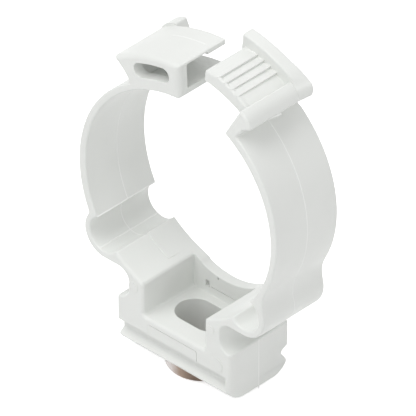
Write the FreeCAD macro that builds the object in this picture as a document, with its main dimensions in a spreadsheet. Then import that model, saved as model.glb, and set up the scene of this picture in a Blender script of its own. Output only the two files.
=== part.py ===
import FreeCAD, Part
import math
import os
import Sketcher

# A clip that closes around a 63 mm pipe: one moulding with a base, two spring arms, a box catch and
# a ratchet tongue, and a flanged hexagon nut with an M8 thread in the base. The nut's end face stands on
# the origin, X runs across the pipe, Y along it and Z away from the wall. Lengths are in mm, angles in
# degrees.

doc = FreeCAD.newDocument("PipeClip")
sheet = doc.addObject("Spreadsheet::Sheet", "Sizes")

# Each row is a name and its value. "Above the shoulder" means above the top of the base.
ROWS = [
    ("clip_width", 21.0),             # whole clip along the pipe
    ("base_length", 38.0),            # base across the pipe
    ("base_height", 14.7),            # underside to shoulder
    ("insert_proud", 1.3),            # how far the insert stands out of the underside
    ("shoulder_ledge", 0.2),          # flat of the shoulder outside the waist rounds
    ("notch_radius", 3.5),            # rounds at the top and bottom of the waist
    ("pipe_radius", 31.4),            # seat for the pipe on the two blocks
    ("seat_level", 5.44),             # lowest line of the pipe above the shoulder
    ("lobe_spacing", 47.0),           # between the axes of the two lobes
    ("lobe_height", 15.3),            # lobe axis above the shoulder
    ("lobe_pocket_radius", 4.85),     # round hollow inside a lobe
    ("lobe_wall", 1.85),              # moulding around that hollow
    ("lobe_start_angle", 130.0),      # where the wall of the left lobe starts, under its arm
    ("lobe_end_angle", 285.0),        # where it ends, under its bar
    ("catch_waist_round", 1.5),       # round between the left lobe and its arm
    ("tongue_waist_round", 9.0),      # round between the right lobe and its arm
    ("recess_length", 20.7),          # recess in the base, across the pipe
    ("recess_floor", 2.3),            # floor of the recess below the shoulder
    ("back_wall", 3.0),               # wall behind the recess
    ("back_wall_span", 22.6),         # stretch of the back wall that is cut lower than the seat
    ("back_wall_radius", 20.4),       # curve of its top edge
    ("recess_round", 0.8),
    ("slot_length", 15.6),            # oblong hole in the floor, across the pipe
    ("slot_width", 9.9),
    ("groove_depth", 2.2),            # rail groove along each side of the base
    ("groove_top", 7.2),              # its upper edge below the shoulder
    ("groove_slope", 1.0),            # fall of its upper face
    ("front_groove_bottom", 10.3),    # lower corner of the front groove below the shoulder
    ("front_groove_lip", 1.9),        # fall of its lip from that corner to the outside
    ("rear_groove_bottom", 8.9),      # the same for the rear groove, which is narrower
    ("rear_groove_lip", 3.1),
    ("groove_stop", 1.7),             # end of the groove, from the far end of the base
    ("foot_inset", 5.2),              # how far the rounded foot edge reaches in
    ("foot_round", 5.37),             # radius of that edge
    ("catch_arm_radius", 33.24),      # inner face of the arm with the catch
    ("catch_arm_end_angle", 211.0),   # its lower end, inside the lobe
    ("catch_arm_end_out", 1.43),      # that end, outwards from the axis of the lobe
    ("catch_arm_end_up", 2.36),       # and upwards
    ("catch_arm_wall", 2.0),
    ("catch_arm_taper", 0.3),         # shift of the outer curve, which thickens the root
    ("catch_open_angle", 92.5),       # open end face of the catch
    ("catch_root_angle", 121.5),      # closed end face of the catch
    ("catch_lip_angle", 2.5),         # how far the top of the closed end stands out beyond its foot
    ("catch_lip_hollow", 15.0),       # radius of the hollow below that lip
    ("catch_wall_angle", 4.0),        # end wall of the socket
    ("catch_height", 9.5),            # catch over the inner face of the arm
    ("catch_floor", 2.1),             # plate under the socket
    ("catch_roof", 1.5),              # plate over the socket
    ("roof_thinning", 0.9),           # cut under the open end of the roof, in front of the parting line
    ("roof_thinning_angle", 1.9),
    ("parting_line", 0.2),            # in front of the middle of the clip
    ("catch_face", 3.1),              # front wall with the window
    ("catch_rear_step", 4.1),         # open strip behind the catch
    ("catch_stop_angle", 5.4),        # end wall of that strip, where the flange stops
    ("catch_stop_rise", 0.6),         # how far it rises above the roof
    ("window_length", 12.3),          # release window, in degrees of arc
    ("window_height", 3.9),
    ("window_shift", 1.6),            # towards the closed end, in degrees of arc
    ("window_lift", 0.2),             # above the middle of the socket
    ("pawl_count", 3.0),              # teeth under the roof of the socket
    ("pawl_height", 1.1),
    ("pawl_lead", 3.0),               # open end to the first pawl, in degrees of arc
    ("tongue_arm_radius", 30.5),      # inner face of the arm with the tongue
    ("tongue_arm_end_angle", -46.0),  # its lower end, inside the lobe
    ("tongue_arm_end_in", 0.6),       # that end, inwards from the axis of the lobe
    ("tongue_arm_end_up", 1.82),      # and upwards
    ("tongue_arm_wall", 2.6),
    ("tongue_arm_taper", 0.5),        # shift of the outer curve, which thickens the free end
    ("neck_angle", 60.0),             # end face of the arm, under the tongue
    ("neck_thickness", 5.2),          # neck, in degrees of arc
    ("rib_height", 10.5),             # grip rib over the inner face of the arm
    ("rib_nose", 2.3),                # overhang of the rib, in degrees of arc
    ("rib_top", 3.8),                 # flat top of the rib, in degrees of arc
    ("rib_slope", 1.8),               # fall from there to the nose
    ("rib_underside", 2.8),           # fall from the nose to the neck
    ("tongue_lift", 5.1),             # underside of the tongue over the inner face of the arm
    ("tongue_thickness", 3.2),
    ("tongue_tip_angle", 82.3),
    ("tongue_clearance", 0.5),        # play between tongue and catch along the pipe
    ("flange_height", 11.7),          # side flange over the inner face of the arm
    ("flange_lead", 1.5),             # how far it passes the tip, in degrees of arc
    ("flange_toe_height", 10.6),      # flange over the nose of the rib, from the inner face of the arm
    ("flange_toe", 0.5),              # how far it passes the nose, in degrees of arc
    ("ridge_count", 4.0),
    ("ridge_first_angle", 75.6),
    ("ridge_pitch", 3.3),             # in degrees of arc
    ("ridge_height", 0.75),
    ("rail_width", 1.5),              # plain rail along the front of the ridges
    ("rail_drop", 0.1),               # rail below the first ridge
    ("gate_mark_width", 2.4),         # stub left by the gate on the nose of the rib
    ("gate_mark_height", 0.5),
    ("insert_flange_radius", 9.5),
    ("insert_edge_round", 1.2),
    ("insert_hex_width", 13.0),       # across the flats
    ("insert_hex_height", 2.7),       # above the flange
    ("thread_core_radius", 3.4),      # tapping size of an M8 thread
    ("thread_lead_in", 0.7),          # chamfer at the inner end of the hole
    ("cut_reach", 3.0),               # how far a cutting outline reaches past the solid
    ("join_reach", 0.8),              # how far a form reaches into the one it joins
]


# A size is a number together with the sheet expression that gives it, so sums keep their binding.
class Size:
    def __init__(self, value, text):
        self.value = float(value)
        self.text = text

    def __add__(self, other):
        other = as_size(other)
        return Size(self.value + other.value, "(" + self.text + " + " + other.text + ")")

    def __sub__(self, other):
        other = as_size(other)
        return Size(self.value - other.value, "(" + self.text + " - " + other.text + ")")

    def __mul__(self, other):
        other = as_size(other)
        return Size(self.value * other.value, "(" + self.text + " * " + other.text + ")")

    def __truediv__(self, other):
        other = as_size(other)
        return Size(self.value / other.value, "(" + self.text + " / " + other.text + ")")

    def __neg__(self):
        return Size(-self.value, "(0 - " + self.text + ")")

    __radd__ = __add__
    __rmul__ = __mul__


def as_size(number):
    if isinstance(number, Size):
        return number
    return Size(number, "%.6f" % number)


def root(size):
    return Size(math.sqrt(size.value), "sqrt(" + size.text + ")")


def cosine(angle):
    return Size(math.cos(math.radians(angle.value)), "cos(" + angle.text + " * 1deg)")


def sine(angle):
    return Size(math.sin(math.radians(angle.value)), "sin(" + angle.text + " * 1deg)")


for row, (alias, value) in enumerate(ROWS, start=1):
    sheet.set("A%d" % row, alias.replace("_", " "))
    sheet.set("B%d" % row, "%g" % value)
    sheet.setAlias("B%d" % row, alias)
doc.recompute()


class Sizes:
    pass


size = Sizes()
for alias, value in ROWS:
    setattr(size, alias, Size(sheet.get(alias), "Sizes." + alias))

# Levels and faces that several features share.
FRONT = -size.clip_width / 2
BACK = size.clip_width / 2
UNDERSIDE = size.insert_proud
SHOULDER = size.insert_proud + size.base_height
HALF_BASE = size.base_length / 2
COLUMN = HALF_BASE - size.shoulder_ledge - size.notch_radius
CLEAR = size.cut_reach
JOIN = size.join_reach
DEGREE = as_size(180 / math.pi)   # degrees in a radian
NEAR = 0.05                       # how close an edge lies to the point that picks it


def plane_of(body, role):
    for feature in body.Origin.OriginFeatures:
        if feature.Role == role:
            return feature
    raise ValueError("no plane " + role)


def new_sketch(body, name, role, offset):
    sketch = body.newObject("Sketcher::SketchObject", name)
    sketch.AttachmentSupport = [(plane_of(body, role), "")]
    sketch.MapMode = "FlatFace"
    sketch.setExpression("AttachmentOffset.Base.z", as_size(offset).text)
    return sketch


def place(sketch, geometry, position, point):
    for kind, coordinate in zip(("DistanceX", "DistanceY"), point):
        constraint = Sketcher.Constraint(kind, -1, 1, geometry, position, coordinate.value)
        index = sketch.addConstraint(constraint)
        sketch.setExpression("Constraints[%d]" % index, coordinate.text)


def arc_between(start, end, radius, turn):
    # turn is +1 where the arc runs anticlockwise from start to end, and -1 where it runs clockwise
    ax, ay = start[0].value, start[1].value
    bx, by = end[0].value, end[1].value
    chord = math.hypot(bx - ax, by - ay)
    rise = math.sqrt(max(radius.value ** 2 - (chord / 2) ** 2, 0.0))
    middle_x = (ax + bx) / 2 - turn * rise * (by - ay) / chord
    middle_y = (ay + by) / 2 + turn * rise * (bx - ax) / chord
    first = math.atan2(ay - middle_y, ax - middle_x)
    last = math.atan2(by - middle_y, bx - middle_x)
    if turn < 0:
        first, last = last, first
    while last <= first:
        last += 2 * math.pi
    centre = FreeCAD.Vector(middle_x, middle_y, 0)
    circle = Part.Circle(centre, FreeCAD.Vector(0, 0, 1), radius.value)
    return Part.ArcOfCircle(circle, first, last)


# An outline is a closed list of corners. A corner is (x, y), and a third and fourth entry give the
# radius and the turn of an arc that leads from it to the next corner.
def draw(sketch, corners):
    ends = []
    for index, corner in enumerate(corners):
        following = corners[(index + 1) % len(corners)]
        if len(corner) == 4:
            arc = sketch.addGeometry(arc_between(corner, following, corner[2], corner[3]), False)
            radius = sketch.addConstraint(Sketcher.Constraint("Radius", arc, corner[2].value))
            sketch.setExpression("Constraints[%d]" % radius, corner[2].text)
            ends.append((arc, 1, 2) if corner[3] > 0 else (arc, 2, 1))
        else:
            start = FreeCAD.Vector(corner[0].value, corner[1].value, 0)
            end = FreeCAD.Vector(following[0].value, following[1].value, 0)
            line = sketch.addGeometry(Part.LineSegment(start, end), False)
            ends.append((line, 1, 2))
    for index, (geometry, start, end) in enumerate(ends):
        follower = ends[(index + 1) % len(ends)]
        joint = Sketcher.Constraint("Coincident", geometry, end, follower[0], follower[1])
        sketch.addConstraint(joint)
    for corner, (geometry, start, end) in zip(corners, ends):
        place(sketch, geometry, start, corner[:2])


def circle_sketch(sketch, centre, radius):
    middle = FreeCAD.Vector(centre[0].value, centre[1].value, 0)
    circle = sketch.addGeometry(Part.Circle(middle, FreeCAD.Vector(0, 0, 1), radius.value), False)
    index = sketch.addConstraint(Sketcher.Constraint("Radius", circle, radius.value))
    sketch.setExpression("Constraints[%d]" % index, radius.text)
    place(sketch, circle, 3, centre)


def pad_of(body, name, sketch, length):
    pad = body.newObject("PartDesign::Pad", name)
    pad.Profile = sketch
    pad.setExpression("Length", length.text)
    return finish(body, pad, +1)


# Sketches on XZ face the front, so an offset along their normal is a step towards -Y.
def pad_between(body, name, front, back, corners):
    sketch = new_sketch(body, name + "_outline", "XZ_Plane", -as_size(back))
    draw(sketch, corners)
    return pad_of(body, name, sketch, back - front)


def pocket_between(body, name, front, back, corners):
    sketch = new_sketch(body, name + "_outline", "XZ_Plane", -as_size(front))
    draw(sketch, corners)
    pocket = body.newObject("PartDesign::Pocket", name)
    pocket.Profile = sketch
    pocket.setExpression("Length", (back - front).text)
    return finish(body, pocket, -1)


def pocket_from(body, name, role, offset, depth, corners=None, circle=None):
    sketch = new_sketch(body, name + "_outline", role, offset)
    if corners:
        draw(sketch, corners)
    else:
        circle_sketch(sketch, *circle)
    pocket = body.newObject("PartDesign::Pocket", name)
    pocket.Profile = sketch
    pocket.setExpression("Length", as_size(depth).text)
    return finish(body, pocket, -1)


volumes = {}


# Every feature has to add or remove material, because a cut that misses the solid reports no error.
def finish(body, feature, sign):
    doc.recompute()
    if feature.Shape.isNull() or not feature.Shape.isValid():
        raise ValueError(feature.Label + " has no valid shape")
    volume = feature.Shape.Volume
    if body.Name in volumes and (volume - volumes[body.Name]) * sign <= 0:
        raise ValueError(feature.Label + " changes nothing")
    volumes[body.Name] = volume
    body.Tip = feature
    return feature


# Edges that run along Y through a given point of the XZ plane.
def edges_along_y(shape, points):
    names = []
    for index, edge in enumerate(shape.Edges, start=1):
        start = edge.Vertexes[0].Point
        end = edge.Vertexes[-1].Point
        if math.hypot(start.x - end.x, start.z - end.z) > NEAR:
            continue
        for x, z in points:
            if math.hypot(start.x - x.value, start.z - z.value) < NEAR:
                names.append("Edge%d" % index)
    return names


# Whole circles of a given radius and height about the Z axis.
def rims_at(shape, radius, height):
    names = []
    for index, edge in enumerate(shape.Edges, start=1):
        if len(edge.Vertexes) == 1 and isinstance(edge.Curve, Part.Circle):
            if math.hypot(edge.Curve.Radius - radius.value, edge.Curve.Center.z - height) < NEAR:
                names.append("Edge%d" % index)
    return names


def round_edges(body, name, base, names, radius, sign):
    if not names:
        raise ValueError(name + " finds no edge")
    fillet = body.newObject("PartDesign::Fillet", name)
    fillet.Base = (base, names)
    fillet.setExpression("Radius", radius.text)
    return finish(body, fillet, sign)


def polar(centre, radius, angle):
    angle = as_size(angle)
    return (centre[0] + radius * cosine(angle), centre[1] + radius * sine(angle))


def hexagon():
    corner = size.insert_hex_width / (2 * cosine(as_size(30)))
    return [polar((as_size(0), as_size(0)), corner, 60 * number) for number in range(6)]


# Part of a ring, with its inner and outer curve about centres of their own.
def ring_sector(inner_centre, inner_radius, outer_centre, outer_radius, first, last):
    inner_start = polar(inner_centre, inner_radius, first)
    inner_end = polar(inner_centre, inner_radius, last)
    outer_start = polar(outer_centre, outer_radius, first)
    outer_end = polar(outer_centre, outer_radius, last)
    return [
        outer_start + (outer_radius, 1),
        outer_end,
        inner_end + (inner_radius, -1),
        inner_start,
    ]


# The point where a lobe's outer circle meets its arm's outer circle, on the side given by its sign.
def crossing(lobe, lobe_radius, arm, arm_radius, side):
    across = arm[0].value - lobe[0].value
    up = arm[1].value - lobe[1].value
    distance = math.hypot(across, up)
    along = (distance ** 2 + lobe_radius.value ** 2 - arm_radius.value ** 2) / (2 * distance)
    off = side * math.sqrt(lobe_radius.value ** 2 - along ** 2)
    x = lobe[0].value + (across * along + up * off) / distance
    z = lobe[1].value + (up * along - across * off) / distance
    return (as_size(x), as_size(z))


def seat_height(x):
    return PIPE_AXIS[1] - root(size.pipe_radius * size.pipe_radius - x * x)


HEX_TOP = size.insert_proud + size.insert_hex_height
PIPE_AXIS = (as_size(0), SHOULDER + size.seat_level + size.pipe_radius)
LOBE_HEIGHT = SHOULDER + size.lobe_height
LOBE_RADIUS = size.lobe_pocket_radius + size.lobe_wall
LEFT_LOBE = (-size.lobe_spacing / 2, LOBE_HEIGHT)
RIGHT_LOBE = (size.lobe_spacing / 2, LOBE_HEIGHT)


# Each arm is a circle that starts from a fixed place in its lobe, whatever its radius.
def arm_centre(start, radius, angle):
    return (start[0] - radius * cosine(angle), start[1] - radius * sine(angle))


CATCH_CENTRE = arm_centre(
    (LEFT_LOBE[0] - size.catch_arm_end_out, LOBE_HEIGHT + size.catch_arm_end_up),
    size.catch_arm_radius, size.catch_arm_end_angle)
TONGUE_CENTRE = arm_centre(
    (RIGHT_LOBE[0] - size.tongue_arm_end_in, LOBE_HEIGHT + size.tongue_arm_end_up),
    size.tongue_arm_radius, size.tongue_arm_end_angle)
CATCH_OUTER = (CATCH_CENTRE[0] - size.catch_arm_taper, CATCH_CENTRE[1] - size.catch_arm_taper)
CATCH_OUTER_RADIUS = size.catch_arm_radius + size.catch_arm_wall
TONGUE_OUTER = (TONGUE_CENTRE[0] - size.tongue_arm_taper, TONGUE_CENTRE[1] + size.tongue_arm_taper)
TONGUE_OUTER_RADIUS = size.tongue_arm_radius + size.tongue_arm_wall


def add_base(body):
    corners = [
        (-HALF_BASE, UNDERSIDE),
        (HALF_BASE, UNDERSIDE),
        (HALF_BASE, SHOULDER),
        (-HALF_BASE, SHOULDER),
    ]
    return pad_between(body, "base_block", FRONT, BACK, corners)


# The two blocks that carry the pipe, with the bars that lead out to the lobes. The seat between them
# is cut lower in the middle, where only the back wall stays.
def add_saddle(body):
    column = COLUMN
    lobe = size.lobe_spacing / 2
    bar = LOBE_HEIGHT - LOBE_RADIUS
    seat = lobe - size.lobe_pocket_radius / 2
    middle = size.back_wall_span / 2
    inside = bar + size.lobe_wall + JOIN
    sunk = SHOULDER - JOIN
    corners = [
        (-column, sunk),
        (column, sunk),
        (column, bar),
        (lobe, bar),
        (lobe, inside),
        (seat, seat_height(seat), size.pipe_radius, -1),
        (middle, seat_height(middle), size.back_wall_radius, -1),
        (-middle, seat_height(middle), size.pipe_radius, -1),
        (-seat, seat_height(seat)),
        (-lobe, inside),
        (-lobe, bar),
        (-column, bar),
    ]
    saddle = pad_between(body, "saddle", FRONT, BACK, corners)
    waist = [(column, SHOULDER), (-column, SHOULDER), (column, bar), (-column, bar)]
    names = edges_along_y(saddle.Shape, waist)
    return round_edges(body, "waist_rounds", saddle, names, size.notch_radius, +1)


def add_arms(body):
    sector = ring_sector(CATCH_CENTRE, size.catch_arm_radius, CATCH_OUTER, CATCH_OUTER_RADIUS,
                         size.catch_root_angle - size.catch_wall_angle, size.catch_arm_end_angle)
    pad_between(body, "catch_arm", FRONT, BACK, sector)
    sector = ring_sector(TONGUE_CENTRE, size.tongue_arm_radius, TONGUE_OUTER, TONGUE_OUTER_RADIUS,
                         size.tongue_arm_end_angle, size.neck_angle - size.neck_thickness / 2)
    pad_between(body, "tongue_arm", FRONT, BACK, sector)


# Each lobe is a curl that lets its arm flex. Its round hollow is cut last, through the arm's root.
def add_lobes(body):
    hidden = size.lobe_pocket_radius - JOIN
    start = size.lobe_start_angle
    end = size.lobe_end_angle
    half_turn = as_size(180)
    left = LEFT_LOBE
    right = RIGHT_LOBE
    pad_between(body, "left_lobe", FRONT, BACK, ring_sector(left, hidden, left, LOBE_RADIUS, start, end))
    wrap = ring_sector(right, hidden, right, LOBE_RADIUS, half_turn - end, half_turn - start)
    pad_between(body, "right_lobe", FRONT, BACK, wrap)
    for name, centre in (("left", left), ("right", right)):
        hollow = pocket_from(body, name + "_lobe_hollow", "XZ_Plane", -FRONT, size.clip_width,
                             circle=(centre, size.lobe_pocket_radius))
    waist = crossing(left, LOBE_RADIUS, CATCH_OUTER, CATCH_OUTER_RADIUS, -1)
    names = edges_along_y(hollow.Shape, [waist])
    hollow = round_edges(body, "catch_waist", hollow, names, size.catch_waist_round, +1)
    waist = crossing(right, LOBE_RADIUS, TONGUE_OUTER, TONGUE_OUTER_RADIUS, +1)
    names = edges_along_y(hollow.Shape, [waist])
    round_edges(body, "tongue_waist", hollow, names, size.tongue_waist_round, +1)


# The recess behind the front opening, and the oblong hole in its floor.
def add_recess(body):
    half = size.recess_length / 2
    floor = SHOULDER - size.recess_floor
    above = PIPE_AXIS[1] - size.pipe_radius + size.lobe_height
    corners = [(-half, floor), (half, floor), (half, above), (-half, above)]
    recess = pocket_between(body, "recess", FRONT, BACK - size.back_wall, corners)
    names = edges_along_y(recess.Shape, [(half, floor), (-half, floor)])
    round_edges(body, "recess_rounds", recess, names, size.recess_round, +1)
    radius = size.slot_width / 2
    run = size.slot_length / 2 - radius
    level = as_size(0)
    slot = [
        (-run, -radius),
        (run, -radius, radius, 1),
        (run + radius, level, radius, 1),
        (run, radius),
        (-run, radius, radius, 1),
        (-run - radius, level, radius, 1),
    ]
    bottom = HEX_TOP
    pocket_from(body, "slot", "XY_Plane", floor, floor - bottom, slot)


# Both long edges of the foot are round, and a rail groove runs above each of them. The front groove
# is open at the left end of the base only, and the rear groove at the right end only.
def add_foot(body):
    drop = root(size.foot_round * size.foot_round - size.foot_inset * size.foot_inset)
    rise = UNDERSIDE + size.foot_round - drop
    below = UNDERSIDE - CLEAR
    beyond = HALF_BASE + CLEAR
    stop = HALF_BASE - size.groove_stop
    sides = [
        ("front", 1, stop, size.front_groove_bottom, size.front_groove_lip),
        ("rear", -1, beyond, size.rear_groove_bottom, size.rear_groove_lip),
    ]
    for name, inward, start, depth, lip in sides:
        face = FRONT * inward
        outside = face - CLEAR * inward
        inset = face + size.foot_inset * inward
        edge = [
            (outside, below),
            (inset, below),
            (inset, UNDERSIDE, size.foot_round, -inward),
            (face, rise),
            (outside, rise),
        ]
        pocket_from(body, name + "_foot_edge", "YZ_Plane", beyond, beyond * 2, edge)
        root_face = face + size.groove_depth * inward
        top = SHOULDER - size.groove_top
        bottom = SHOULDER - depth
        fall = lip * (CLEAR / size.groove_depth + 1)
        channel = [
            (outside, top),
            (face, top),
            (root_face, top - size.groove_slope),
            (root_face, bottom),
            (outside, bottom - fall),
        ]
        pocket_from(body, name + "_rail_groove", "YZ_Plane", start, stop + beyond, channel)


# The insert's hexagon fills a seat in the underside, and its flange lies under the foot.
def add_insert_seat(body):
    pocket_from(body, "hexagon_seat", "XY_Plane", HEX_TOP, size.insert_hex_height + CLEAR, hexagon())


# The catch is a box over the end of its arm, on the arm's own centre, and its closed end hollows out to a
# lip. Its socket is open towards the tongue and at the rear, and the wall behind it stops the flange.
def add_catch(body):
    centre = CATCH_CENTRE
    inner = size.catch_arm_radius
    outer = inner + size.catch_height
    roof = outer - size.catch_roof
    opening = size.catch_open_angle
    stop = size.catch_root_angle - size.catch_wall_angle
    lip = size.catch_root_angle + size.catch_lip_angle
    block = [
        polar(centre, outer, opening) + (outer, 1),
        polar(centre, outer, lip) + (size.catch_lip_hollow, -1),
        polar(centre, inner, size.catch_root_angle) + (inner, -1),
        polar(centre, inner, opening),
    ]
    pad_between(body, "catch_block", FRONT, BACK, block)
    step = BACK - size.catch_rear_step
    beyond = opening - CLEAR
    face = size.catch_root_angle - size.catch_stop_angle
    rear = ring_sector(centre, inner - CLEAR, centre, outer + CLEAR, beyond, face)
    pocket_between(body, "catch_rear", step, BACK, rear)
    raised = [
        polar(centre, outer + size.catch_stop_rise, face) + (inner, 1),
        polar(centre, outer, lip),
        polar(centre, outer - JOIN, size.catch_root_angle),
        polar(centre, outer - JOIN, face),
    ]
    pad_between(body, "catch_stop", step, BACK, raised)
    cavity = ring_sector(centre, inner + size.catch_floor, centre, roof, beyond, stop)
    pocket_between(body, "catch_socket", FRONT + size.catch_face, step, cavity)
    thin = opening + size.roof_thinning_angle
    under_roof = [
        polar(centre, roof + size.roof_thinning, opening),
        polar(centre, roof, thin),
        polar(centre, roof - size.pawl_height, thin),
        polar(centre, roof - size.pawl_height, beyond),
        polar(centre, roof + size.roof_thinning, beyond),
    ]
    pocket_between(body, "roof_thinning", FRONT + size.catch_face, -size.parting_line, under_roof)
    # The release window is an oblong that follows the arc of the socket.
    middle_radius = (inner + size.catch_floor + roof) / 2 + size.window_lift
    half = size.window_height / 2
    middle_angle = (opening + stop) / 2 + size.window_shift
    swing = size.window_length / 2
    tip = swing + half / middle_radius * DEGREE
    inside = middle_radius - half
    outside = middle_radius + half
    window = [
        polar(centre, inside, middle_angle + swing) + (inside, -1),
        polar(centre, inside, middle_angle - swing) + (half, 1),
        polar(centre, middle_radius, middle_angle - tip) + (half, 1),
        polar(centre, outside, middle_angle - swing) + (outside, 1),
        polar(centre, outside, middle_angle + swing) + (half, 1),
        polar(centre, middle_radius, middle_angle + tip) + (half, 1),
    ]
    pocket_between(body, "window", FRONT, FRONT + size.catch_face, window)
    # The pawls under the roof are steep towards the closed end and lead in from the open end.
    for number in range(int(size.pawl_count.value)):
        lead = opening + size.pawl_lead + size.ridge_pitch * number
        steep = lead + size.ridge_pitch
        pawl = [
            polar(centre, roof + JOIN, lead),
            polar(centre, roof + JOIN, steep),
            polar(centre, roof - size.pawl_height, steep),
        ]
        pad_between(body, "pawl_%d" % (number + 1), FRONT + size.catch_face - JOIN, step, pawl)


# The tongue, its neck and its grip rib stand on the end of the other arm. The flange runs along the back
# of the tongue, passes behind the catch and ends over the nose of the rib. The tongue falls to its tip.
def add_tongue(body):
    centre = TONGUE_CENTRE
    inner = size.tongue_arm_radius
    under = inner + size.tongue_lift
    land = under + size.tongue_thickness
    crest = land + size.ridge_height
    top = inner + size.rib_height
    end = size.neck_angle
    heel = end - size.neck_thickness
    nose = top - size.rib_slope
    neck = [
        polar(centre, inner, heel) + (inner, 1),
        polar(centre, inner, end),
        polar(centre, top, end),
        polar(centre, top, end - size.rib_top),
        polar(centre, nose, heel - size.rib_nose),
        polar(centre, nose - size.rib_underside, heel),
    ]
    pad_between(body, "neck", FRONT, BACK, neck)
    root_angle = end - size.neck_thickness / 2
    tip = size.tongue_tip_angle
    plate = [
        polar(centre, under, root_angle) + (under, 1),
        polar(centre, under, tip),
        polar(centre, land, tip),
    ]
    for number in range(int(size.ridge_count.value)):
        angle = size.ridge_first_angle - size.ridge_pitch * number
        plate.append(polar(centre, crest, angle))
        if number < int(size.ridge_count.value) - 1:
            plate.append(polar(centre, land, angle))
    last = size.ridge_first_angle - size.ridge_pitch * (int(size.ridge_count.value) - 1)
    plate.append(polar(centre, land, last) + (land, -1))
    plate.append(polar(centre, land, root_angle))
    rail = [
        polar(centre, under, root_angle) + (under, 1),
        polar(centre, under, tip),
        polar(centre, land, tip),
        polar(centre, crest - size.rail_drop, size.ridge_first_angle) + (land, -1),
        polar(centre, land, root_angle),
    ]
    gate_mark = [
        polar(centre, nose, heel),
        polar(centre, nose + size.gate_mark_height, heel - size.rib_nose / 2),
        polar(centre, nose, heel - size.rib_nose) + (size.gate_mark_height * 2, -1),
        polar(centre, nose - size.rib_underside / 2, heel - size.rib_nose / 2),
    ]
    half_mark = size.gate_mark_width / 2
    pad_between(body, "gate_mark", -half_mark, half_mark, gate_mark)
    face = FRONT + size.catch_face + size.tongue_clearance
    flange_face = BACK - size.catch_rear_step + size.tongue_clearance
    pad_between(body, "tongue", face, flange_face, plate)
    pad_between(body, "tongue_rail", face, face + size.rail_width, rail)
    lead = tip + size.flange_lead
    edge = inner + size.flange_height
    flange = [
        polar(centre, under, heel) + (under, 1),
        polar(centre, under, lead),
        polar(centre, edge, lead) + (edge, -1),
        polar(centre, edge, heel),
        polar(centre, inner + size.flange_toe_height, heel - size.rib_nose + size.flange_toe),
        polar(centre, nose, heel - size.rib_nose - size.flange_toe),
        polar(centre, nose - size.rib_underside, heel),
    ]
    pad_between(body, "flange", flange_face, BACK, flange)


clip = doc.addObject("PartDesign::Body", "clip_body")
clip.Label = "clip_body"
add_base(clip)
add_saddle(clip)
add_arms(clip)
add_lobes(clip)
add_recess(clip)
add_foot(clip)
add_insert_seat(clip)
add_catch(clip)
add_tongue(clip)


# The insert is a hexagon nut with a round flange, and the hole is cut at the tapping size.
def add_insert():
    body = doc.addObject("PartDesign::Body", "threaded_insert")
    body.Label = "threaded_insert"
    middle = (as_size(0), as_size(0))
    disc = new_sketch(body, "flange_outline", "XY_Plane", 0)
    circle_sketch(disc, middle, size.insert_flange_radius)
    flange = pad_of(body, "flange", disc, size.insert_proud)
    names = rims_at(flange.Shape, size.insert_flange_radius, 0)
    round_edges(body, "flange_round", flange, names, size.insert_edge_round, -1)
    outline = new_sketch(body, "hexagon_outline", "XY_Plane", size.insert_proud)
    draw(outline, hexagon())
    pad_of(body, "hexagon", outline, size.insert_hex_height)
    hole = pocket_from(body, "threaded_hole", "XY_Plane", HEX_TOP, HEX_TOP + CLEAR,
                       circle=(middle, size.thread_core_radius))
    chamfer = body.newObject("PartDesign::Chamfer", "lead_in")
    chamfer.Base = (hole, rims_at(hole.Shape, size.thread_core_radius, HEX_TOP.value))
    chamfer.setExpression("Size", size.thread_lead_in.text)
    finish(body, chamfer, -1)
    return body


insert = add_insert()

doc.recompute()
for item in doc.Objects:
    if "Invalid" in item.State or "Error" in item.State:
        raise ValueError(item.Label + " failed")

os.makedirs("parts", exist_ok=True)
for part in (clip, insert):
    if part.Shape.isNull() or not part.Shape.isValid():
        raise ValueError(part.Label + " has no valid shape")
    part.Shape.exportStep(os.path.join("parts", part.Label + ".step"))
    print(part.Label, "solids", len(part.Shape.Solids), "volume", round(part.Shape.Volume, 1))
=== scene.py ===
import bmesh
import bpy
import math
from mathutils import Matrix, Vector


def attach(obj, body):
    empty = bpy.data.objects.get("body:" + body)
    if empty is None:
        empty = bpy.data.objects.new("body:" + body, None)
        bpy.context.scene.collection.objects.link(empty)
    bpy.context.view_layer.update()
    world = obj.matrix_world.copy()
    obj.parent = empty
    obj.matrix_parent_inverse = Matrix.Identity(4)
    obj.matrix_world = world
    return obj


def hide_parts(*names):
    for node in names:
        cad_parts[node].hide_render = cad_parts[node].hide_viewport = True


# A clip for a 63 mm pipe: one light grey moulding and the flanged nut in its base.
# Numbers in the dictionaries are in mm and degrees, and mm turns them into metres.

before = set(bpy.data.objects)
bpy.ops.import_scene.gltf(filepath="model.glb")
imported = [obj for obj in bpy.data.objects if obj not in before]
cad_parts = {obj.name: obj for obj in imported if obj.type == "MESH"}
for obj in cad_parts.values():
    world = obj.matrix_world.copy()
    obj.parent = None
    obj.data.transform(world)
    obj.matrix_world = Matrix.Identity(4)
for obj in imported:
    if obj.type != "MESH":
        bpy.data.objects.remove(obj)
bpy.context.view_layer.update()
mm = 0.001
print("frame loaded")


def newPiece(name, points, faces, material):
    mesh = bpy.data.meshes.new(name)
    mesh.from_pydata(points, [], faces)
    mesh.validate()
    mesh.materials.append(material)
    piece = bpy.data.objects.new(name, mesh)
    bpy.context.scene.collection.objects.link(piece)
    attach(piece, "root")
    return piece


def smoothShade(mesh, angle):
    mesh.shade_smooth()
    mesh.set_sharp_from_angle(angle=math.radians(angle))


# materials

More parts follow.
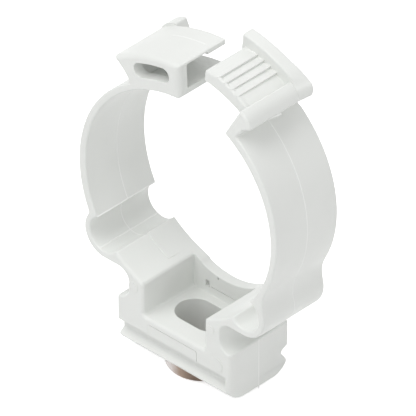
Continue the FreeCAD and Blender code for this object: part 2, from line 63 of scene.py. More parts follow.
plastic = {
    "colour": (0.815, 0.829, 0.806),
    "shade": (0.782, 0.796, 0.772),
    "paintedHighlight": (0.905, 0.915, 0.90),     # lighter colour: a painted highlight on the parting lines and beads
    "specular": 0.42,
    "cloudScale": 55,          # clouds in the colour, per metre
    "cloudDetail": 3,
    "roughLow": 0.36,
    "roughHigh": 0.46,
    "waveScale": 170,          # slight sink and flow in the surface
    "waveDetail": 2,
    "waveBump": 0.10,
    "waveDepth": 0.5,
    "grainScale": 2600,        # fine grain of the mould face
    "grainDetail": 2,
    "grainBump": 0.035,
    "grainDepth": 0.2,
}

steel = {
    "colour": (0.47, 0.44, 0.43),
    # painted reflection: the rim goes from pale steel through brown to near black along X
    "paintedReflectionMid": (0.27, 0.205, 0.165),
    "paintedReflectionMidAt": 0.6,            # share of the way to the darkest painted reflection
    "paintedReflection": (0.13, 0.095, 0.075),
    "paintedReflectionFrom": -4.5,       # painted reflection, pale to dark along X
    "paintedReflectionTo": 6.5,
    "uneven": 0.9,             # how far the spots shift the border of the painted reflection
    "spotScale": 260,
    "spotDetail": 4,
    "roughLow": 0.30,
    "roughHigh": 0.42,
    "ringScale": 2400,         # fine rings on the flange
    "ringDistortion": 1.5,
    "ringBump": 0.05,
    "ringDepth": 0.1,
}

noiseLow = 0.3                 # most values of a noise lie between these two
noiseHigh = 0.7


def newMaterial(name):
    material = bpy.data.materials.new(name)
    material.use_nodes = True
    return material, material.node_tree.nodes, material.node_tree.links


def noiseNode(nodes, links, scale, detail):
    place = nodes.new("ShaderNodeTexCoord")
    noise = nodes.new("ShaderNodeTexNoise")
    noise.inputs["Scale"].default_value = scale
    noise.inputs["Detail"].default_value = detail
    links.new(place.outputs["Object"], noise.inputs["Vector"])
    return noise


def mapped(nodes, links, source, low, high):
    span = nodes.new("ShaderNodeMapRange")
    span.inputs["From Min"].default_value = noiseLow
    span.inputs["From Max"].default_value = noiseHigh
    span.inputs["To Min"].default_value = low
    span.inputs["To Max"].default_value = high
    links.new(source, span.inputs["Value"])
    return span.outputs["Result"]


def colourMix(nodes, links, factor, first, second):
    mix = nodes.new("ShaderNodeMix")
    mix.data_type = "RGBA"
    mix.inputs["A"].default_value = (*first, 1)
    mix.inputs["B"].default_value = (*second, 1)
    links.new(factor, mix.inputs["Factor"])
    return mix.outputs["Result"]


def bumpOn(nodes, links, height, strength, depth, below=None):
    bump = nodes.new("ShaderNodeBump")
    bump.inputs["Strength"].default_value = strength
    bump.inputs["Distance"].default_value = depth * mm
    links.new(height, bump.inputs["Height"])
    if below:
        links.new(below, bump.inputs["Normal"])
    return bump.outputs["Normal"]


def makePlastic(name, colours):
    material, nodes, links = newMaterial(name)
    shader = nodes["Principled BSDF"]
    shader.inputs["Specular IOR Level"].default_value = plastic["specular"]
    clouds = noiseNode(nodes, links, plastic["cloudScale"], plastic["cloudDetail"])
    waves = noiseNode(nodes, links, plastic["waveScale"], plastic["waveDetail"])
    grain = noiseNode(nodes, links, plastic["grainScale"], plastic["grainDetail"])
    blend = mapped(nodes, links, clouds.outputs["Fac"], 0, 1)
    colour = colourMix(nodes, links, blend, *colours)
    links.new(colour, shader.inputs["Base Color"])
    rough = mapped(nodes, links, waves.outputs["Fac"], plastic["roughLow"], plastic["roughHigh"])
    links.new(rough, shader.inputs["Roughness"])
    flow = bumpOn(nodes, links, waves.outputs["Fac"], plastic["waveBump"], plastic["waveDepth"])
    surface = bumpOn(nodes, links, grain.outputs["Fac"], plastic["grainBump"], plastic["grainDepth"], flow)
    links.new(surface, shader.inputs["Normal"])
    return material


# Painted reflection: the nut's colour darkens along X, standing in for the pale floor and dark moulding that
# its rim mirrors, and the spots make its border uneven.
def paintedReflectionOf(nodes, links, place, spots):
    split = nodes.new("ShaderNodeSeparateXYZ")
    links.new(place, split.inputs["Vector"])
    along = nodes.new("ShaderNodeMapRange")
    along.interpolation_type = "SMOOTHSTEP"
    along.inputs["From Min"].default_value = steel["paintedReflectionFrom"] * mm
    along.inputs["From Max"].default_value = steel["paintedReflectionTo"] * mm
    links.new(split.outputs["X"], along.inputs["Value"])
    lowered = nodes.new("ShaderNodeMath")
    lowered.operation = "SUBTRACT"
    lowered.inputs[1].default_value = 0.5
    links.new(spots, lowered.inputs[0])
    patches = nodes.new("ShaderNodeMath")
    patches.operation = "MULTIPLY_ADD"
    patches.use_clamp = True
    patches.inputs[1].default_value = steel["uneven"]
    links.new(lowered.outputs["Value"], patches.inputs[0])
    links.new(along.outputs["Result"], patches.inputs[2])
    return patches.outputs["Value"]


def makeSteel():
    material, nodes, links = newMaterial("platedSteel")
    shader = nodes["Principled BSDF"]
    shader.inputs["Metallic"].default_value = 1
    spots = noiseNode(nodes, links, steel["spotScale"], steel["spotDetail"])
    place = nodes.new("ShaderNodeTexCoord")
    # colour ramp from pale steel to the painted dark reflection
    tones = nodes.new("ShaderNodeValToRGB")
    tones.color_ramp.elements[0].color = (*steel["colour"], 1)
    tones.color_ramp.elements[1].color = (*steel["paintedReflection"], 1)
    tones.color_ramp.elements.new(steel["paintedReflectionMidAt"]).color = (*steel["paintedReflectionMid"], 1)
    paintedReflection = paintedReflectionOf(nodes, links, place.outputs["Object"], spots.outputs["Fac"])
    links.new(paintedReflection, tones.inputs["Fac"])
    links.new(tones.outputs["Color"], shader.inputs["Base Color"])
    rough = mapped(nodes, links, spots.outputs["Fac"], steel["roughLow"], steel["roughHigh"])
    links.new(rough, shader.inputs["Roughness"])
    rings = nodes.new("ShaderNodeTexWave")
    rings.wave_type = "RINGS"
    rings.rings_direction = "Z"
    rings.inputs["Scale"].default_value = steel["ringScale"]
    rings.inputs["Distortion"].default_value = steel["ringDistortion"]
    links.new(place.outputs["Object"], rings.inputs["Vector"])
    surface = bumpOn(nodes, links, rings.outputs["Fac"], steel["ringBump"], steel["ringDepth"])
    links.new(surface, shader.inputs["Normal"])
    return material


plasticMaterial = makePlastic("mouldedPlastic", (plastic["colour"], plastic["shade"]))
# a lighter copy of the plastic: painted highlight for the parting lines and beads
paintedHighlightMaterial = makePlastic("plasticPaintedHighlight", (plastic["paintedHighlight"], plastic["paintedHighlight"]))
steelMaterial = makeSteel()
print("materials made")

# the moulding: the solid's own form, with the rounds of a real mould on its edges

moulding = {
    "weld": 0.002,             # points closer than this are one point
    "flatAngle": 0.6,          # faces closer than this are one face
    "near": 0.05,              # how closely a point of the solid is looked up
    "edgeSegments": 4,
    "sharpAngle": 24,          # edges sharper than this are rounded
    "outerRound": 0.5,         # where nothing below gives another
    "innerRound": 0.25,
    "largestRound": 1.6,
    "runAngle": 20,            # a bend up to this in one run of edges
    "creaseAngle": 38,         # edges sharper than this stay sharp in the shading
    "catchCentre": (3.56, 50.78),
    "tongueCentre": (1.71, 55.06),
    # radius from and to, angle from and to, y from and to, round
    "catchRounds": (
        (35.2, 41.6, 93.4, 118.5, -7.6, 6.6, 0.10),      # socket and pawls
        (35.2, 42.2, 91.5, 94.7, -7.0, -0.1, 0.10),      # thin end of the roof, and the floor below it
        (42.6, 42.9, 91.5, 93.0, -7.4, -0.1, 0.35),
        (41.0, 42.9, 91.2, 93.2, 6.3, 6.5, 1.00),        # rear corner of the roof
        (35.2, 42.0, 91.5, 93.4, -7.6, 6.6, 0.30),       # mouth of the socket
        (36.0, 41.5, 95.0, 117.0, -10.6, -10.4, 0.20),   # rim of the window
        (33.4, 42.6, 91.5, 93.0, -10.6, -10.4, 1.60),    # corner beside the mouth
        (33.1, 33.4, 91.5, 93.0, -10.6, 10.6, 1.00),
        (42.6, 42.9, 91.5, 93.0, -10.6, 10.6, 0.60),
        (42.6, 42.9, 93.0, 124.5, -10.6, -10.4, 1.30),   # front of the roof
        (42.6, 42.9, 93.0, 116.3, 6.3, 6.5, 0.50),       # rear of the roof
        (42.5, 42.9, 123.5, 124.5, -10.6, 10.6, 0.60),   # lip of the closed end
        (33.4, 42.6, 121.0, 124.5, -10.6, -10.4, 0.70),
        (42.5, 43.6, 115.5, 124.2, 6.3, 6.5, 0.06),      # raised stop
        (42.5, 43.6, 115.9, 116.3, 6.3, 10.6, 0.50),
        (42.7, 43.6, 116.0, 124.0, 10.4, 10.6, 0.40),
        (33.1, 33.4, 93.0, 121.0, -10.6, -10.4, 0.70),
    ),
    "tongueRounds": (
        (38.4, 38.9, 82.0, 82.6, -7.0, 7.0, 0.80),       # tip
        (35.5, 35.7, 82.0, 82.6, -7.0, 7.0, 0.60),
        (35.7, 38.5, 82.0, 82.6, -7.0, -6.8, 0.90),
        (38.5, 39.7, 58.0, 82.2, -6.8, 7.05, 0.07),      # ridges
        (38.5, 39.7, 61.0, 82.2, -7.0, -6.8, 0.50),      # front of the rail
        (35.7, 42.0, 83.2, 84.2, 6.8, 7.0, 0.90),        # end of the flange
        (42.1, 42.3, 83.2, 84.2, 6.8, 10.6, 0.60),
        (35.7, 42.0, 83.2, 84.2, 10.4, 10.6, 0.30),
        (36.0, 42.3, 51.0, 59.9, 6.8, 7.0, 0.00),        # flange where it runs into the rib
        (42.1, 42.3, 59.9, 83.5, 6.8, 7.0, 0.45),
        (42.1, 42.3, 55.0, 83.5, 10.4, 10.6, 0.35),
        (39.0, 42.3, 51.0, 55.0, 10.4, 10.6, 0.35),
        (36.0, 42.3, 51.5, 55.0, 7.0, 10.4, 0.70),       # toe of the flange
        (40.9, 41.2, 55.8, 60.5, -10.6, -10.4, 0.90),    # front end of the rib
        (36.0, 41.2, 52.0, 60.5, -10.6, -10.4, 0.90),
        (40.9, 41.2, 59.5, 60.5, -10.5, 7.0, 0.50),      # its top
        (40.9, 41.2, 55.8, 56.6, -10.5, 7.0, 1.20),
        (39.0, 39.4, 52.2, 52.8, -10.5, 7.0, 0.70),      # its nose
        (38.6, 40.2, 52.4, 55.0, -1.3, 1.3, 0.06),       # gate mark
    ),
    # lowest corner, highest corner, round
    "baseRounds": (
        ((18.9, -10.6, 1.2), (19.1, 10.6, 15.9), 1.1),       # corners of the right end
        ((-19.1, -10.6, 5.5), (18.9, -8.2, 8.9), 0.22),      # grooves
        ((-19.1, 8.2, 5.5), (18.9, 10.6, 8.9), 0.22),
        ((18.9, -10.6, 15.9), (19.1, 10.6, 16.1), 0.5),
        ((-19.1, -10.6, 15.9), (-18.9, 10.6, 16.1), 0.5),
        ((-10.5, -10.6, 13.9), (-10.2, -10.4, 22.8), 0.75),  # blocks beside the recess
        ((10.2, -10.6, 13.9), (10.5, -10.4, 22.8), 0.6),
        ((-24, -10.6, 22.8), (-10.2, -10.4, 36), 1.0),
        ((10.2, -10.6, 22.8), (18.5, -10.4, 30), 0.6),
        ((-10.5, -10.5, 22.8), (-10.2, 7.4, 23.6), 0.5),
        ((10.2, -10.5, 22.8), (10.5, 7.4, 23.6), 0.6),
        ((-10.5, -10.6, 13.6), (10.5, -10.4, 13.8), 0.9),    # front of the recess floor
        ((-8, -5.1, 3.9), (8, 5.1, 13.8), 0.12),             # oblong hole
        ((-11.5, 7.4, 17), (11.5, 10.6, 23.6), 0.25),        # top of the back wall
        ((-9.6, -9.6, 1.2), (9.6, 9.6, 4.1), 0.1),           # seat of the nut
    ),
    # lowest corner, highest corner, shift: small differences of the real mould
    "shifts": (
        ((-10.5, 7.4, 22.7), (-9.9, 10.6, 23.1), (0, 0, 0.25)),     # back wall beside the left block
        ((-9.3, 7.4, 22.1), (-8.8, 10.6, 22.4), (0, 0, 0.42)),
        ((-8.0, 7.4, 21.5), (-7.7, 10.6, 21.8), (0, 0, 0.5)),
        ((-6.7, 7.4, 21.1), (-6.5, 10.6, 21.3), (-0.8, 0, 0.34)),
        ((-16.9, 6.3, 88.8), (-16.6, 10.6, 89.0), (-0.14, 0, 0.28)),   # crown of the raised stop
        ((-18.1, 6.3, 87.9), (-17.9, 10.6, 88.2), (-0.22, 0, 0.42)),
        ((-19.3, 6.3, 87.0), (-19.1, 10.6, 87.3), (-0.18, 0, 0.34)),
    ),
    # angle and radius of a point in the flange's inner face, and its place beside the rib
    "toe": (
        (57.43, 42.2, 57.43, 41.03),
        (54.8, 42.2, 56.0, 41.03),
        (53.0, 41.1, 54.4, 40.20),
        (52.0, 39.2, 52.45, 39.20),
    ),
    "toeFace": 6.9,            # y of that inner face
    "ledge": (18.8, 16.0),     # x and z of the narrow ledge beside the shoulders, which is rounded away
    "railEdge": -5.4,          # inner edge of the rail, and how far it leans back
    "railLean": 0.8,
    "ridgeFront": -6.9,
    "ridgeNear": 0.02,
    "ridgeAngles": (60.4, 76.1),
    "ridgeRadii": (38.83, 39.8),
    # the ridges run out into this line: angle and radius at its low end and at its high end
    "railLine": (57.4, 38.8, 75.6, 39.45),
    "ridgeProud": 0.02,
    # how far the free arm's rear stands out, and over what x, y and z it does so
    "bow": {"shift": 0.7, "from": 18, "full": 22, "rear": 9, "low": 22, "high": 34,
            "fadeFrom": 88, "fadeTo": 97},
    "discSteps": 48,
    # outline across the clip, y from and to: shallow forms cut into the faces
    "cuts": (
        (((-8.8, 8), (7.6, 8), (7.6, 11.9), (-8.8, 11.9)), -11, -10.42),    # panel on the front
        (((-8.2, 11.84), (6.8, 11.84), (7.5, 11.5), (7.6, 11.0), (7.6, 8), (7.8, 8), (7.8, 11.1), (7.65, 11.65),
          (6.9, 12.04), (-8.2, 12.04)), -11, -10.1),
        (((-6.4, 15.5), (-4.9, 15.5), (-4.9, 17.5), (-6.4, 17.5)), 7, 8.4),  # back wall
        (((-2.4, 19.3), (-1.85, 19.3), (-1.85, 19.85), (-2.4, 19.85)), 7, 8.6),
        (((-4.6, 15.9), (10.0, 15.9), (10.0, 16.1), (-4.6, 16.1)), 7, 7.8),
    ),
}


# Radius and angle of a place about a centre, across the clip.
def polarOf(place, centre):
    across = place.x / mm - centre[0]
    up = place.z / mm - centre[1]
    return math.hypot(across, up), math.degrees(math.atan2(up, across))


def inPolar(place, centre, rule):
    radius, angle = polarOf(place, centre)
    spans = ((radius, rule[0], rule[1]), (angle, rule[2], rule[3]), (place.y / mm, rule[4], rule[5]))
    return all(low <= value <= high for value, low, high in spans)


def inBox(place, lowest, highest):
    return all(low <= part / mm <= high for low, part, high in zip(lowest, place, highest))


def roundOf(edge):
    middle = (edge.verts[0].co + edge.verts[1].co) / 2
    for rule in moulding["catchRounds"]:
        if inPolar(middle, moulding["catchCentre"], rule):
            return rule[-1]
    for rule in moulding["tongueRounds"]:
        if inPolar(middle, moulding["tongueCentre"], rule):
            return rule[-1]
    for lowest, highest, value in moulding["baseRounds"]:
        if inBox(middle, lowest, highest):
            return value
    return moulding["outerRound"] if edge.is_convex else moulding["innerRound"]


# Edges that run on smoothly into one another get one round, the one that most of their length asks for.
def edgeRuns(form):
    sharp = [edge for edge in form.edges
             if edge.is_manifold and edge.calc_face_angle() > math.radians(moulding["sharpAngle"])]
    waiting = set(sharp)
    runs = []
    for first in sharp:
        if first not in waiting:
            continue
        waiting.remove(first)
        run = [first]
        for edge in run:
            for vert in edge.verts:
                along = (vert.co - edge.other_vert(vert).co).normalized()
                for after in vert.link_edges:
                    if after in waiting and after.is_convex == edge.is_convex:
                        onward = (after.other_vert(vert).co - vert.co).normalized()
                        if along.dot(onward) > math.cos(math.radians(moulding["runAngle"])):
                            waiting.remove(after)
                            run.append(after)
        runs.append(run)
    return runs


def roundEdges(form):
    rounded = {}
    for run in edgeRuns(form):
        shares = {}
        for edge in run:
            value = roundOf(edge)
            shares[value] = shares.get(value, 0) + edge.calc_length()
        chosen = max(shares, key=shares.get)
        for edge in run:
            rounded[frozenset(vert.index for vert in edge.verts)] = chosen / moulding["largestRound"]
    return rounded


def polarPoint(centre, angle, radius, y):
    turned = math.radians(angle)
    across = centre[0] + radius * math.cos(turned)
    return Vector((across, y, centre[1] + radius * math.sin(turned))) * mm


# The ridges run out towards the front, into the line of the rail.
def shapeRidge(vert):
    centre = moulding["tongueCentre"]
    radius, angle = polarOf(vert.co, centre)
    angles = moulding["ridgeAngles"]
    radii = moulding["ridgeRadii"]
    if not (angles[0] < angle < angles[1] and radii[0] < radius < radii[1]):
        return
    level = vert.co.y / mm
    if abs(level - moulding["railEdge"]) < moulding["ridgeNear"]:
        vert.co.y -= moulding["railLean"] * mm
    elif abs(level - moulding["ridgeFront"]) < moulding["ridgeNear"]:
        lowAngle, lowRadius, highAngle, highRadius = moulding["railLine"]
        share = (angle - lowAngle) / (highAngle - lowAngle)
        line = lowRadius + (highRadius - lowRadius) * share + moulding["ridgeProud"]
        if radius > line:
            vert.co = polarPoint(centre, angle, line, level)


# The free arm stands slightly bowed to the rear.
def bowOf(place):
    bow = moulding["bow"]
    if place.x < bow["from"] or place.y < bow["rear"]:
        return 0
    side = min((place.x - bow["from"]) / (bow["full"] - bow["from"]), 1)
    rise = min(max((place.z - bow["low"]) / (bow["high"] - bow["low"]), 0), 1)
    fall = min(max((bow["fadeTo"] - place.z) / (bow["fadeTo"] - bow["fadeFrom"]), 0), 1)
    return bow["shift"] * rise * fall * side


def onLedge(place):
    across, level = moulding["ledge"]
    return (abs(abs(place.x / mm) - across) < moulding["near"]
            and abs(place.z / mm - level) < moulding["near"])


def shapePoint(vert):
    for lowest, highest, shift in moulding["shifts"]:
        if inBox(vert.co, lowest, highest):
            vert.co += Vector(shift) * mm
            break
    for angle, radius, newAngle, newRadius in moulding["toe"]:
        known = polarPoint(moulding["tongueCentre"], angle, radius, moulding["toeFace"])
        if (known - vert.co).length < moulding["near"] * mm:
            vert.co = polarPoint(moulding["tongueCentre"], newAngle, newRadius, moulding["toeFace"])
            break
    shapeRidge(vert)
    vert.co.y += bowOf(vert.co / mm) * mm


def plainForm():
    form = bmesh.new()
    form.from_mesh(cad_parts["clip_body"].data)
    bmesh.ops.remove_doubles(form, verts=form.verts, dist=moulding["weld"] * mm)
    bmesh.ops.dissolve_limit(form, angle_limit=math.radians(moulding["flatAngle"]),
                             verts=form.verts, edges=form.edges)
    ledges = [edge for edge in form.edges if all(onLedge(vert.co) for vert in edge.verts)]
    bmesh.ops.dissolve_edges(form, edges=ledges, use_verts=True)
    for vert in form.verts:
        shapePoint(vert)
    return form


# A prism along the clip, from an outline across it.
def prism(outline, low, high):
    count = len(outline)
    points = [(x * mm, y * mm, z * mm) for y in (low, high) for x, z in outline]
    faces = [list(range(count)), list(range(2 * count - 1, count - 1, -1))]
    for index in range(count):
        after = (index + 1) % count
        faces.append((index, index + count, after + count, after))
    mesh = bpy.data.meshes.new("prism")
    mesh.from_pydata(points, [], faces)
    form = bmesh.new()
    form.from_mesh(mesh)
    bmesh.ops.recalc_face_normals(form, faces=form.faces)
    form.to_mesh(mesh)
    form.free()
    return mesh


def disc(x, z, radius):
    steps = moulding["discSteps"]
    turns = [2 * math.pi * step / steps for step in range(steps)]
    return [(x + radius * math.cos(turn), z + radius * math.sin(turn)) for turn in turns]


def addRounds(piece, rounded):
    weights = piece.data.attributes.new("bevel_weight_edge", "FLOAT", "EDGE")
    for edge in piece.data.edges:
        weights.data[edge.index].value = rounded.get(frozenset(edge.vertices), 0)
    rounds = piece.modifiers.new("edgeRounds", "BEVEL")
    rounds.width = moulding["largestRound"] * mm
    rounds.segments = moulding["edgeSegments"]
    rounds.limit_method = "WEIGHT"
    rounds.miter_outer = "MITER_ARC"
    rounds.use_clamp_overlap = False


def addCut(piece, outline, low, high):
    cutter = bpy.data.objects.new("cutter", prism(outline, low, high))
    bpy.context.scene.collection.objects.link(cutter)
    cut = piece.modifiers.new("cut", "BOOLEAN")
    cut.operation = "DIFFERENCE"
    cut.solver = "EXACT"
    cut.object = cutter
    return cutter


def makeMoulding():
    form = plainForm()
    rounded = roundEdges(form)
    points = [tuple(vert.co) for vert in form.verts]
    faces = [[vert.index for vert in face.verts] for face in form.faces]
    form.free()
    piece = newPiece("clipMoulding", points, faces, plasticMaterial)
    addRounds(piece, rounded)
    cutters = [addCut(piece, *cut) for cut in moulding["cuts"]]
    finished = piece.evaluated_get(bpy.context.evaluated_depsgraph_get())
    piece.data = bpy.data.meshes.new_from_object(finished)
    piece.modifiers.clear()
    for cutter in cutters:
        bpy.data.objects.remove(cutter)
    smoothShade(piece.data, moulding["creaseAngle"])
    normals = piece.modifiers.new("evenNormals", "WEIGHTED_NORMAL")
    normals.keep_sharp = True
    return piece


clipMoulding = makeMoulding()
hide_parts("clip_body")
print("moulding made")

# what the mould leaves on the faces: parting line, marks of the ejector pins, gate stub, step on the left block

marks = {
    "crease": 30,              # edges sharper than this stay sharp in the shading
    "lineFront": 0.19,         # reach of the line's flanks towards the front and the rear
    "lineRear": 0.17,
    "lineHeight": 0.06,
    "sunk": 0.02,
    # y of the line, x and z of its stretch from and to, centre and radius from and to
    "lines": (
        (0.5, (-31, 35), (-14, 86), (3.56, 50.78), (33.0, 33.4)),    # inside the left arm
        (0.5, (-30, 25), (-17, 38), (-23.5, 31.3), (4.6, 5.1)),      # inside its lobe
        (0.5, (18, 35), (40, 84), (1.71, 55.06), (32.4, 35.0)),      # outside the right arm
        (-0.3, (18.9, 1.2), (19.1, 16.1), (0, 0), (0, 100)),         # right end of the base
        (0.3, (23, 23), (36, 36), (23.5, 31.3), (6.5, 7.2)),         # right lobe
        (1.3, (-12, 89), (1.2, 94), (3.56, 50.78), (42.6, 42.9)),    # roof of the catch
    ),
    # outlines across the clip of the beads that run along it
    "beads": (
        ((-26.3, 35.82), (-26.2, 35.28), (-25.82, 35.52)),     # lower edge of the left arm
        ((-25.43, 26.80), (-24.91, 26.62), (-25.12, 26.84)),   # floor of its lobe
    ),
    "beadReach": 10.1,
    # x, z and radius on the front face
    "pins": ((-13.6, 20.8, 1.5), (12.4, 20.84, 1.25), (14.2, 11.3, 2.2)),
    "pinFront": -10.64,
    "pinRear": -10.4,
    # gate stub under the rib, which grows out of it towards its rear end
    "stub": {"outline": ((25.0, 86.6), (25.2, 85.7), (25.86, 85.84)), "front": -3.8, "rear": 0.3,
             "frontShift": (-0.4, 0, 0.34)},
    "seat": 31.4,              # radius of the pipe's seat, and z of its axis
    "pipeLevel": 52.84,
    # step on the left block: it is highest at its front and fades out to the rear
    "step": {"from": -19.6, "to": -12.4, "front": 0.5, "rear": 10.2, "height": 0.14,
             "slope": 0.32, "root": 0.2, "sunk": 0.05, "steps": 12},
}


# The edges of a cut across the clip's depth that lie in one stretch of the surface.
def cutEdges(form, level, lowest, highest, centre, radii):
    everything = form.verts[:] + form.edges[:] + form.faces[:]
    cut = bmesh.ops.bisect_plane(form, geom=everything, plane_co=(0, level * mm, 0), plane_no=(0, 1, 0))

    def inStretch(place):
        spans = ((place.x / mm, lowest[0], highest[0]), (place.z / mm, lowest[1], highest[1]),
                 (polarOf(place, centre)[0], *radii))
        return all(low <= value <= high for value, low, high in spans)

    return [item for item in cut["geom_cut"] if isinstance(item, bmesh.types.BMEdge)
            and all(inStretch(vert.co) for vert in item.verts)]


# The edges of one line in their order, with the vertex at which they start.
def growChain(start, waiting):
    run = [start]
    ends = list(start.verts)
    for side in (0, 1):
        growing = True
        while growing:
            growing = False
            for edge in ends[side].link_edges:
                if edge in waiting:
                    waiting.remove(edge)
                    ends[side] = edge.other_vert(ends[side])
                    run = run + [edge] if side else [edge] + run
                    growing = True
                    break
    # every line runs the same way round, so that its faces look outward
    onward = run[0].other_vert(ends[0]).co - ends[0].co
    if Vector((0, 1, 0)).cross(onward).dot(run[0].link_faces[0].normal) < 0:
        return run[::-1], ends[1]
    return run, ends[0]


def lineChains(*stretch):
    form = plainForm()
    edges = cutEdges(form, *stretch)
    waiting = set(edges)
    chains = []
    for start in edges:
        if start not in waiting:
            continue
        waiting.remove(start)
        run, current = growChain(start, waiting)
        chain = []
        for edge in run:
            outward = sum((face.normal for face in edge.link_faces), Vector())
            chain.append((current.co.copy(), outward.normalized()))
            current = edge.other_vert(current)
        chain.append((current.co.copy(), chain[-1][1]))
        chains.append(chain)
    form.free()
    return chains


def makeLine(number, stretch):
    front = Vector((0, marks["lineFront"], 0)) * mm
    rear = Vector((0, marks["lineRear"], 0)) * mm
    points = []
    faces = []
    for chain in lineChains(*stretch):
        first = len(points)
        for index, (place, outward) in enumerate(chain):
            normal = (outward + chain[max(index - 1, 0)][1]).normalized()
            normal.y = 0
            base = place - normal * marks["sunk"] * mm
            peak = place + normal * marks["lineHeight"] * mm
            points += [tuple(base - front), tuple(peak), tuple(base + rear)]
        last = len(points) - 3
        for start in range(first, last, 3):
            for side in range(3):
                after = (side + 1) % 3
                faces.append((start + side, start + after, start + 3 + after, start + 3 + side))
        faces.append((first + 2, first + 1, first))
        faces.append((last, last + 1, last + 2))
    piece = newPiece("partingLine%d" % number, points, faces, paintedHighlightMaterial)
    smoothShade(piece.data, marks["crease"])


def addMark(name, outline, low, high, material=plasticMaterial):
    mark = bpy.data.objects.new(name, prism(outline, low, high))
    mark.data.materials.append(material)
    bpy.context.scene.collection.objects.link(mark)
    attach(mark, "root")
    smoothShade(mark.data, marks["crease"])
    return mark


def makeStub():
    stub = marks["stub"]
    mark = addMark("gateStub", stub["outline"], stub["front"], stub["rear"])
    for vert in mark.data.vertices:
        if vert.co.y < 0:
            vert.co += Vector(stub["frontShift"]) * mm


def makeStep():
    step = marks["step"]
    seat = marks["seat"]
    level = marks["pipeLevel"]
    upper = []
    lower = []
    for index in range(step["steps"] + 1):
        x = step["from"] + (step["to"] - step["from"]) * index / step["steps"]
        for edge, radius in ((upper, seat - step["height"]), (lower, seat + step["root"])):
            edge.append((x, level - math.sqrt(radius ** 2 - x ** 2)))
    mark = addMark("seatStep", upper + lower[::-1], step["front"], step["rear"])
    for vert in mark.data.vertices:
        if vert.co.y > (step["front"] + step["rear"]) / 2 * mm:
            vert.co.z -= (step["height"] + step["sunk"]) * mm
        elif polarOf(vert.co, (0, level))[0] < seat:
            vert.co.y += step["slope"] * mm


# parting lines and beads carry the painted highlight colour
for number, stretch in enumerate(marks["lines"]):
    makeLine(number + 1, stretch)
for number, outline in enumerate(marks["beads"]):
    addMark("bead%d" % (number + 1), outline, -marks["beadReach"], marks["beadReach"], paintedHighlightMaterial)
for number, pin in enumerate(marks["pins"]):
    addMark("ejectorMark%d" % (number + 1), disc(*pin), marks["pinFront"], marks["pinRear"])
makeStub()
makeStep()
print("mould marks made")

# the flanged nut, with its M8 thread

nut = {
    "flangeRadius": 9.5,
    "flangeHeight": 3.5,       # up into the curve of the foot
    "edgeRound": 1.15,
    "edgeSteps": 8,
    "rimBreak": 0.1,
    "hexWidth": 13.0,
    "height": 4.0,
    "hexChamfer": 0.3,
    "hexBreak": 0.1,
    "coneShare": 0.97,         # radius of the chamfer's cone at the top, in half widths
    "threadPitch": 1.25,
    "threadInner": 3.4,
    "threadOuter": 4.05,
    "flankShare": 1.25,        # steeper than 1 leaves a flat crest and root
    "crestShare": 0.1,
    "leadIn": 0.15,
    "stepsPerTurn": 12,
    "around": 144,
    "crease": 28,
}


def threadRadius(angle, height):
    turn = (height / nut["threadPitch"] - angle / 360) % 1
    fall = abs(2 * turn - 1) * nut["flankShare"] - nut["crestShare"]
    slope = 1 - min(max(fall, 0), 1)
    radius = nut["threadInner"] + (nut["threadOuter"] - nut["threadInner"]) * slope
    leadIn = nut["threadOuter"] + nut["leadIn"] - min(height, nut["height"] - height)
    return max(radius, leadIn)


def hexRadius(angle, height):
    half = nut["hexWidth"] / 2
    flat = half / math.cos(math.radians(angle % 60 - 30))
    cone = half * nut["coneShare"] + (nut["height"] - height) * math.sqrt(3)
    return min(flat, cone)


def nutSection(angle):
    steps = round(nut["height"] / nut["threadPitch"] * nut["stepsPerTurn"])
    bore = [nut["height"] * step / steps for step in range(steps + 1)]
    section = [(threadRadius(angle, height), height) for height in bore]
    top = nut["height"]
    for height in (top, top - nut["hexBreak"], top - nut["hexChamfer"]):
        section.append((hexRadius(angle, height), height))
    rim = nut["flangeRadius"]
    shoulder = nut["flangeHeight"]
    section.append((hexRadius(angle, 0), shoulder))
    section.append((rim - nut["rimBreak"], shoulder))
    section.append((rim, shoulder - nut["rimBreak"]))
    for step in range(nut["edgeSteps"] + 1):
        fall = math.radians(90 * step / nut["edgeSteps"])
        across = rim - nut["edgeRound"] * (1 - math.cos(fall))
        section.append((across, nut["edgeRound"] * (1 - math.sin(fall))))
    return section


def makeNut():
    points = []
    for step in range(nut["around"]):
        angle = 360 * step / nut["around"]
        turned = math.radians(angle)
        for radius, height in nutSection(angle):
            point = Vector((radius * math.cos(turned), radius * math.sin(turned), height))
            points.append(tuple(point * mm))
    count = len(nutSection(0))
    faces = []
    for step in range(nut["around"]):
        here = step * count
        there = (step + 1) % nut["around"] * count
        for index in range(count):
            after = (index + 1) % count
            faces.append((here + index, here + after, there + after, there + index))
    piece = newPiece("flangedNut", points, faces, steelMaterial)
    smoothShade(piece.data, nut["crease"])
    return piece


flangedNut = makeNut()
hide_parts("threaded_insert")
print("nut made")

# floor, lights and camera

studio = {
    "floorSize": 3000,
    "floorColour": (0.80, 0.80, 0.80),
    "floorRough": 0.9,
    "floorGlow": 0.68,         # lifts the lit floor to white for the camera, and keeps the shadow
    "worldLight": 0.62,
    "camera": {"azimuth": 43.698, "elevation": 35.443, "distance": 3676.5, "lens": 1310.6,
               "sensor": 36, "target": (2.064, -0.5, 47.02)},
    # name, azimuth, elevation, distance, size, power in watts
    "lamps": (
        ("keyLamp", -20, 62, 900, 700, 3.5),
        ("fillLamp", 75, 30, 1000, 800, 1.1),
        ("backLamp", 200, 45, 1000, 700, 0.8),
    ),
}


# The way to a camera or lamp: azimuth 0 is in front, 90 on the right.
def direction(azimuth, elevation):
    around = math.radians(azimuth)
    up = math.radians(elevation)
    return Vector((math.cos(up) * math.sin(around), -math.cos(up) * math.cos(around), math.sin(up)))


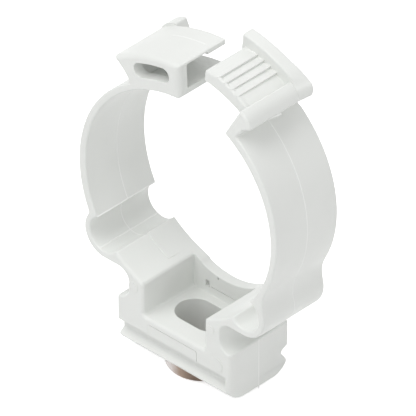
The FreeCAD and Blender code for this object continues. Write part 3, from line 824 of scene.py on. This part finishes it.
# 1 for what the camera sees, also in a mirror or through glass, and 0 for light that falls on the clip.
def seenDirectly(nodes, links):
    path = nodes.new("ShaderNodeLightPath")
    total = path.outputs["Is Camera Ray"]
    for ray in ("Is Glossy Ray", "Is Transmission Ray"):
        add = nodes.new("ShaderNodeMath")
        add.operation = "MAXIMUM"
        links.new(total, add.inputs[0])
        links.new(path.outputs[ray], add.inputs[1])
        total = add.outputs["Value"]
    return total


def makeFloor():
    half = studio["floorSize"] / 2 * mm
    mesh = bpy.data.meshes.new("floor")
    mesh.from_pydata([(-half, -half, 0), (half, -half, 0), (half, half, 0), (-half, half, 0)], [],
                     [(0, 1, 2, 3)])
    floor = bpy.data.objects.new("floor", mesh)
    bpy.context.scene.collection.objects.link(floor)
    material, nodes, links = newMaterial("paleFloor")
    shader = nodes["Principled BSDF"]
    shader.inputs["Base Color"].default_value = (*studio["floorColour"], 1)
    shader.inputs["Roughness"].default_value = studio["floorRough"]
    shader.inputs["Specular IOR Level"].default_value = 0
    shader.inputs["Emission Color"].default_value = (1, 1, 1, 1)
    glow = nodes.new("ShaderNodeMath")
    glow.operation = "MULTIPLY"
    glow.inputs[1].default_value = studio["floorGlow"]
    links.new(seenDirectly(nodes, links), glow.inputs[0])
    links.new(glow.outputs["Value"], shader.inputs["Emission Strength"])
    mesh.materials.append(material)


def makeWorld():
    world = bpy.data.worlds.new("studioLight")
    world.use_nodes = True
    nodes = world.node_tree.nodes
    links = world.node_tree.links
    light = nodes["Background"]
    light.inputs["Color"].default_value = (1, 1, 1, 1)
    strength = nodes.new("ShaderNodeMapRange")
    strength.inputs["To Min"].default_value = studio["worldLight"]
    strength.inputs["To Max"].default_value = 1
    links.new(seenDirectly(nodes, links), strength.inputs["Value"])
    links.new(strength.outputs["Result"], light.inputs["Strength"])
    bpy.context.scene.world = world


def makeLamp(name, azimuth, elevation, distance, size, power):
    data = bpy.data.lights.new(name, "AREA")
    data.shape = "DISK"
    data.size = size * mm
    data.energy = power
    lamp = bpy.data.objects.new(name, data)
    way = direction(azimuth, elevation)
    lamp.location = Vector(studio["camera"]["target"]) * mm + way * distance * mm
    lamp.rotation_euler = (-way).to_track_quat("-Z", "Y").to_euler()
    bpy.context.scene.collection.objects.link(lamp)


def makeCamera():
    view = studio["camera"]
    data = bpy.data.cameras.new("photoCamera")
    data.lens = view["lens"]
    data.sensor_width = view["sensor"]
    camera = bpy.data.objects.new("photoCamera", data)
    way = direction(view["azimuth"], view["elevation"])
    camera.location = (Vector(view["target"]) + way * view["distance"]) * mm
    camera.rotation_euler = (-way).to_track_quat("-Z", "Y").to_euler()
    bpy.context.scene.collection.objects.link(camera)
    bpy.context.scene.camera = camera


makeFloor()
makeWorld()
for lamp in studio["lamps"]:
    makeLamp(*lamp)
makeCamera()
bpy.context.scene.view_settings.view_transform = "Standard"
print("studio made")
